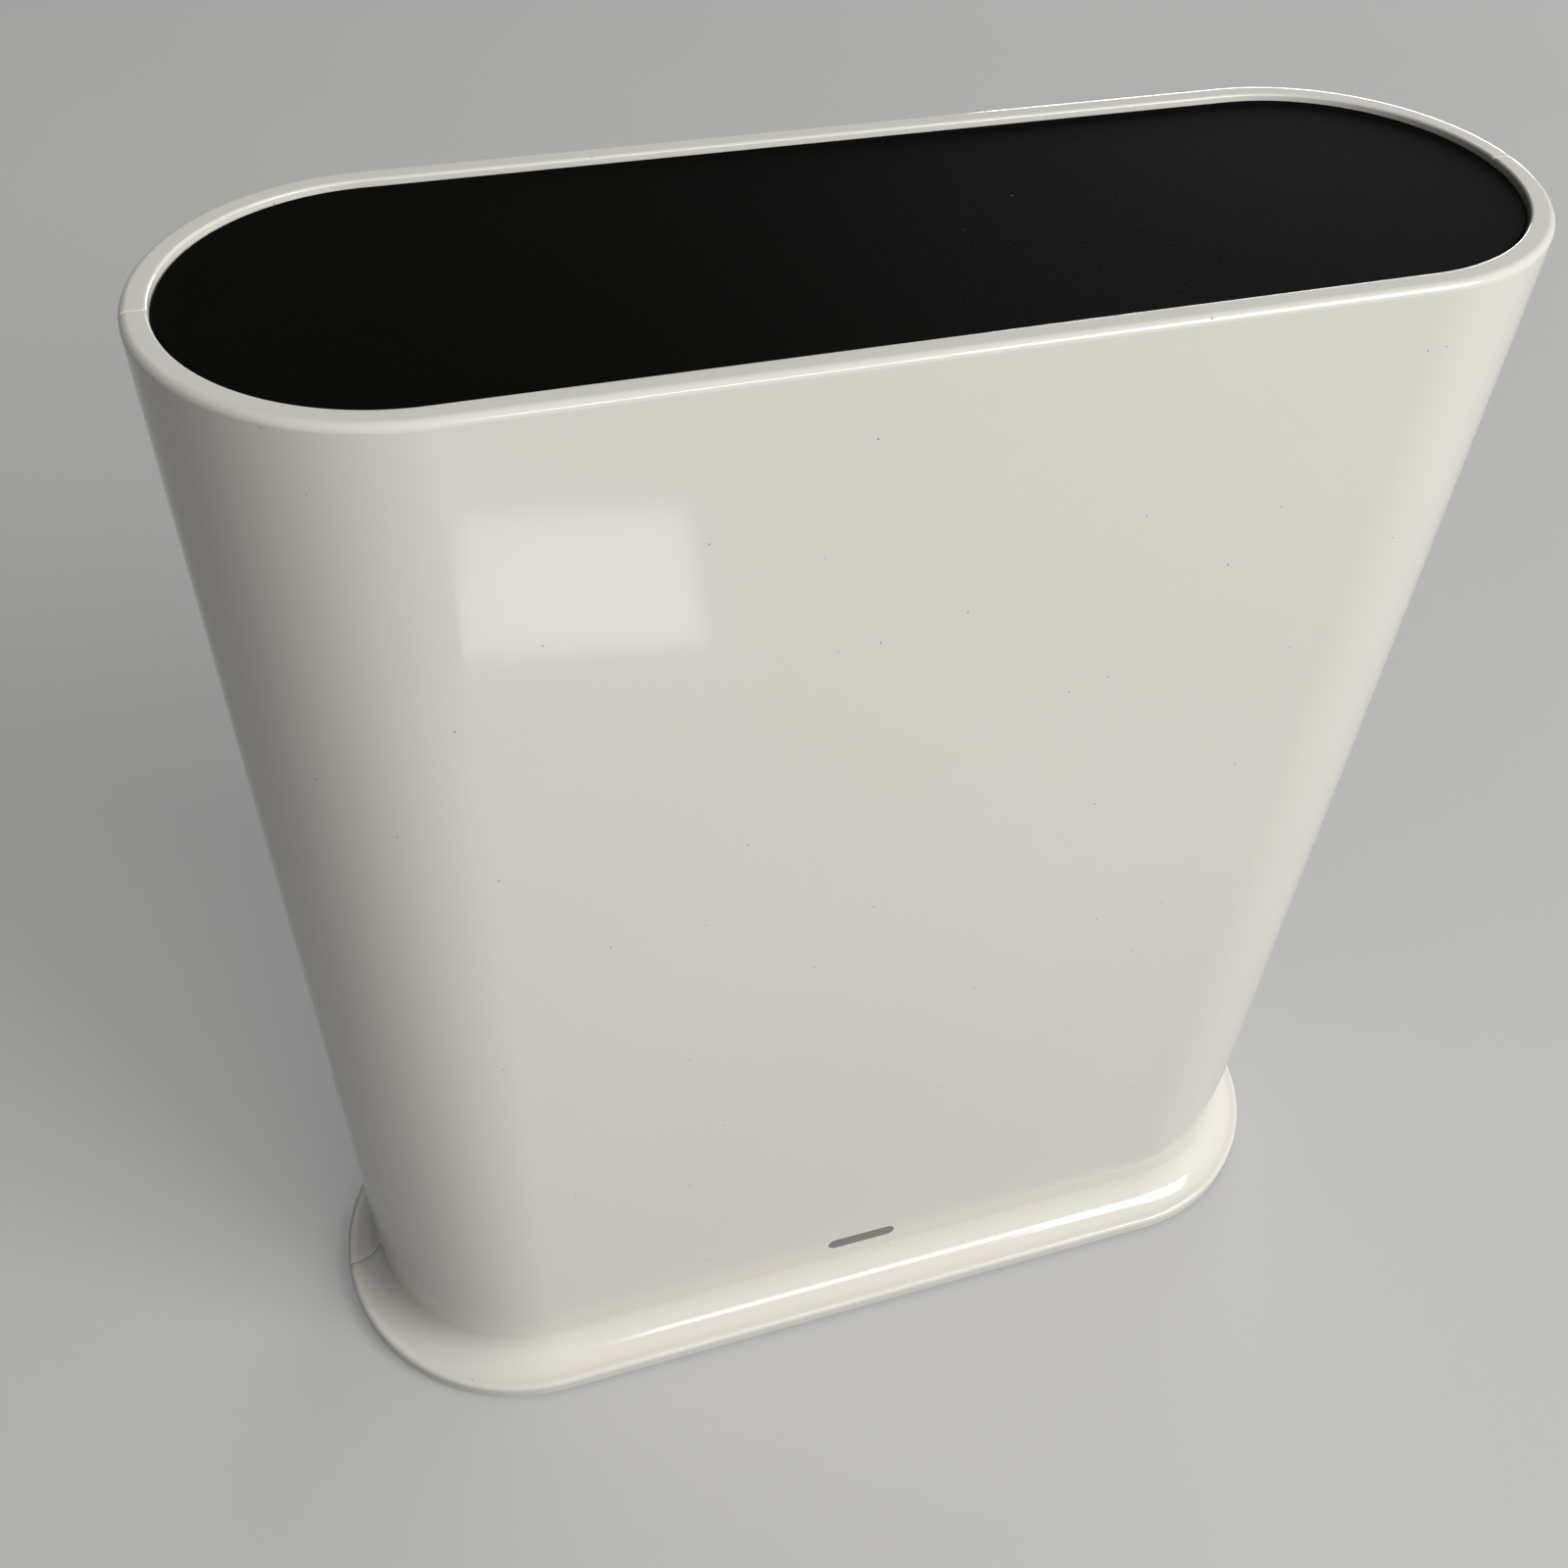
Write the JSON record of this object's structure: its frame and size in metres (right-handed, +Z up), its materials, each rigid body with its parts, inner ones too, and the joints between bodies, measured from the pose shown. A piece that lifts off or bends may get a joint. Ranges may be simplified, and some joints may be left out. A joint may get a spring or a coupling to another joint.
{
  "type": "security camera base station",
  "caption": "Upright radio hub for wireless cameras: white racetrack-plan shell on a flared foot, recessed black top, front status light, rear jacks and push buttons.",
  "frame": {"origin": "on the table under the middle of the foot, at the underside of the rubber feet", "axes": "+Z up, -Y to the front with the status light, +Y to the rear with the jacks, X along the width"},
  "size_m": [0.16, 0.0596, 0.1732],
  "materials": {
    "white_shell": "warm white moulded gloss",
    "black_plate": "fine matte black texture",
    "pale_base": "fine spark texture",
    "steel": "plated",
    "rubber": "matte",
    "smoked_light": "smoked translucent",
    "black_plastic": "satin",
    "lamp": "clear cast",
    "gilt": "gold flash",
    "white_insulator": "moulded",
    "white_button": "moulded satin",
    "green_board": "lacquered glass epoxy",
    "thermal_rubber": "soft silicone",
    "sink_aluminium": "extruded",
    "dark_parts": "sleeved cans",
    "grey_frame": "moulded",
    "amber_board": "bare laminate with copper",
    "cable": "thin coaxial jacket"
  },
  "bodies": {
    "station": {"front_shell": "white_shell", "rear_shell": "white_shell", "top_plate": "black_plate", "base_cover": "pale_base", "base_screws": "steel", "rubber_feet": "rubber", "light_pipe": "smoked_light", "light_shroud": "black_plastic", "status_led": "lamp", "port_panel": "black_plastic", "panel_screws": "steel", "ethernet_shield": "steel", "ethernet_insert": "black_plastic", "ethernet_contacts": "gilt", "usb_shell": "steel", "usb_tongue": "white_insulator", "usb_contacts": "gilt", "power_jack": "black_plastic", "power_jack_pin": "steel", "sync_switch": "black_plastic", "reset_switch": "black_plastic", "main_board": "green_board", "board_screws": "steel", "processor": "black_plastic", "memory_chips": "black_plastic", "thermal_pads": "thermal_rubber", "heat_sink": "sink_aluminium", "sink_screws": "steel", "radio_shields": "steel", "power_parts": "dark_parts", "network_transformer": "black_plastic", "antenna_frame": "grey_frame", "frame_screws": "steel", "left_antenna": "amber_board", "right_antenna": "amber_board", "top_antenna": "amber_board", "board_sockets": "gilt", "cable_plugs": "gilt", "left_antenna_cable": "cable", "right_antenna_cable": "cable", "top_antenna_cable": "cable"},
    "sync_push": {"sync_button": "white_button", "sync_plunger": "white_insulator"},
    "reset_push": {"reset_key": "white_button", "reset_plunger": "white_insulator"}
  },
  "joints": [
    {"name": "sync_press", "type": "slide", "parent": "station", "child": "sync_push", "axis": [0, -1, 0], "range_m": [0, 0.0005], "stiffness_N_per_m": 3000},
    {"name": "reset_press", "type": "slide", "parent": "station", "child": "reset_push", "axis": [0, -1, 0], "range_m": [0, 0.0004], "stiffness_N_per_m": 3000}
  ]
}
